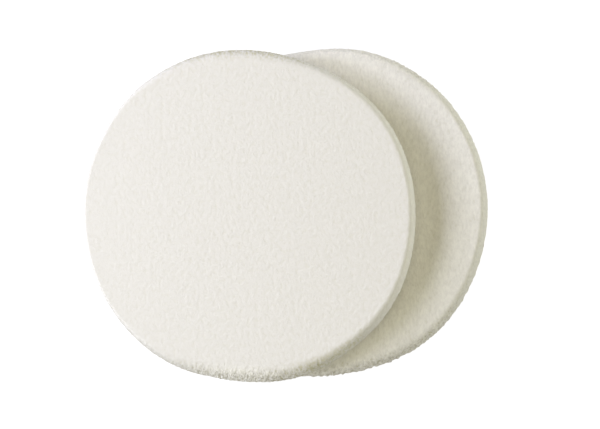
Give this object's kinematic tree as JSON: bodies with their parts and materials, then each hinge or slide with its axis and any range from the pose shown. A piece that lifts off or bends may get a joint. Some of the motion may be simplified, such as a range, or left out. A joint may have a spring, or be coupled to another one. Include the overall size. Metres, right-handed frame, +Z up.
{
  "type": "round makeup sponge",
  "caption": "Round flat makeup sponges of fine soft foam, stacked with a sideways shift: discs with rounded rims and a slightly swollen cut edge, for putting on foundation or powder.",
  "frame": {"origin": "on the surface that the lower sponge lies on, under the middle of the stack's box", "axes": "+X from the upper sponge's centre to the lower sponge's centre, along the stack's longest side; +Z up, square to the sponges' flat faces"},
  "size_m": [0.0724, 0.06, 0.0163],
  "materials": {
    "foam": "matt, fine-celled warm white foam with a short-fibred grain"
  },
  "bodies": {
    "rear_sponge": {"rear_sponge": "foam"},
    "front_sponge": {"front_sponge": "foam"}
  },
  "joints": [
    {"name": "lift_off", "type": "slide", "parent": "rear_sponge", "child": "front_sponge", "axis": [0, 0, 1], "range_m": [0, 0.06]}
  ]
}
